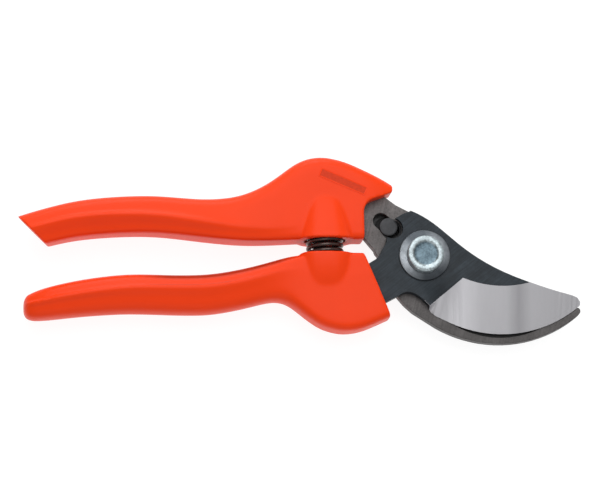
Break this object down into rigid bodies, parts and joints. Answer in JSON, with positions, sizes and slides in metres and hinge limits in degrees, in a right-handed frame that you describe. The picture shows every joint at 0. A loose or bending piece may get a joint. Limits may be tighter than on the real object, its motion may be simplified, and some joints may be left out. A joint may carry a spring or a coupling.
{
  "type": "bypass pruner",
  "caption": "Hand pruner: moulded handles, a bevelled blade that bypasses a hooked counter-blade, bolted pivot, return spring and sliding catch.",
  "frame": {"origin": "on the pivot axis, in the plane of the nut's outer face, on which the part lies", "axes": "+X towards the blade tips, +Y towards the upper handle, +Z along the pivot towards the bolt head"},
  "size_m": [0.2005, 0.0672, 0.0212],
  "materials": {
    "handle_plastic": "satin, fine moulded texture",
    "counter_steel": "grey phosphated, fine grain",
    "blade_steel": "blue-black coating with a polished bevel",
    "zinc_steel": "bright zinc plate",
    "turned_steel": "turned grey steel",
    "spring_steel": "oiled black wire",
    "pin_steel": "blackened",
    "black_plastic": "fine matt"
  },
  "bodies": {
    "upper": {"upper_handle": "handle_plastic", "counter_blade": "counter_steel", "pivot_bolt": "zinc_steel", "head_washer": "turned_steel", "back_washer": "zinc_steel", "split_washer": "zinc_steel", "pivot_nut": "zinc_steel", "return_spring": "spring_steel"},
    "lower": {"lower_handle": "handle_plastic", "cutting_blade": "blade_steel"},
    "catch": {"catch_pin": "pin_steel", "catch_button": "black_plastic", "catch_washer": "zinc_steel"}
  },
  "joints": [
    {"name": "jaw_pivot", "type": "hinge", "parent": "upper", "child": "lower", "pos_m": [0, 0, 0.0108], "axis": [0, 0, 1], "range_deg": [0, 38], "deforming": ["return_spring"]},
    {"name": "catch_slide", "type": "slide", "parent": "upper", "child": "catch", "axis": [-0.7431, 0.6691, 0], "range_m": [-0.0015, 0.0035]}
  ]
}
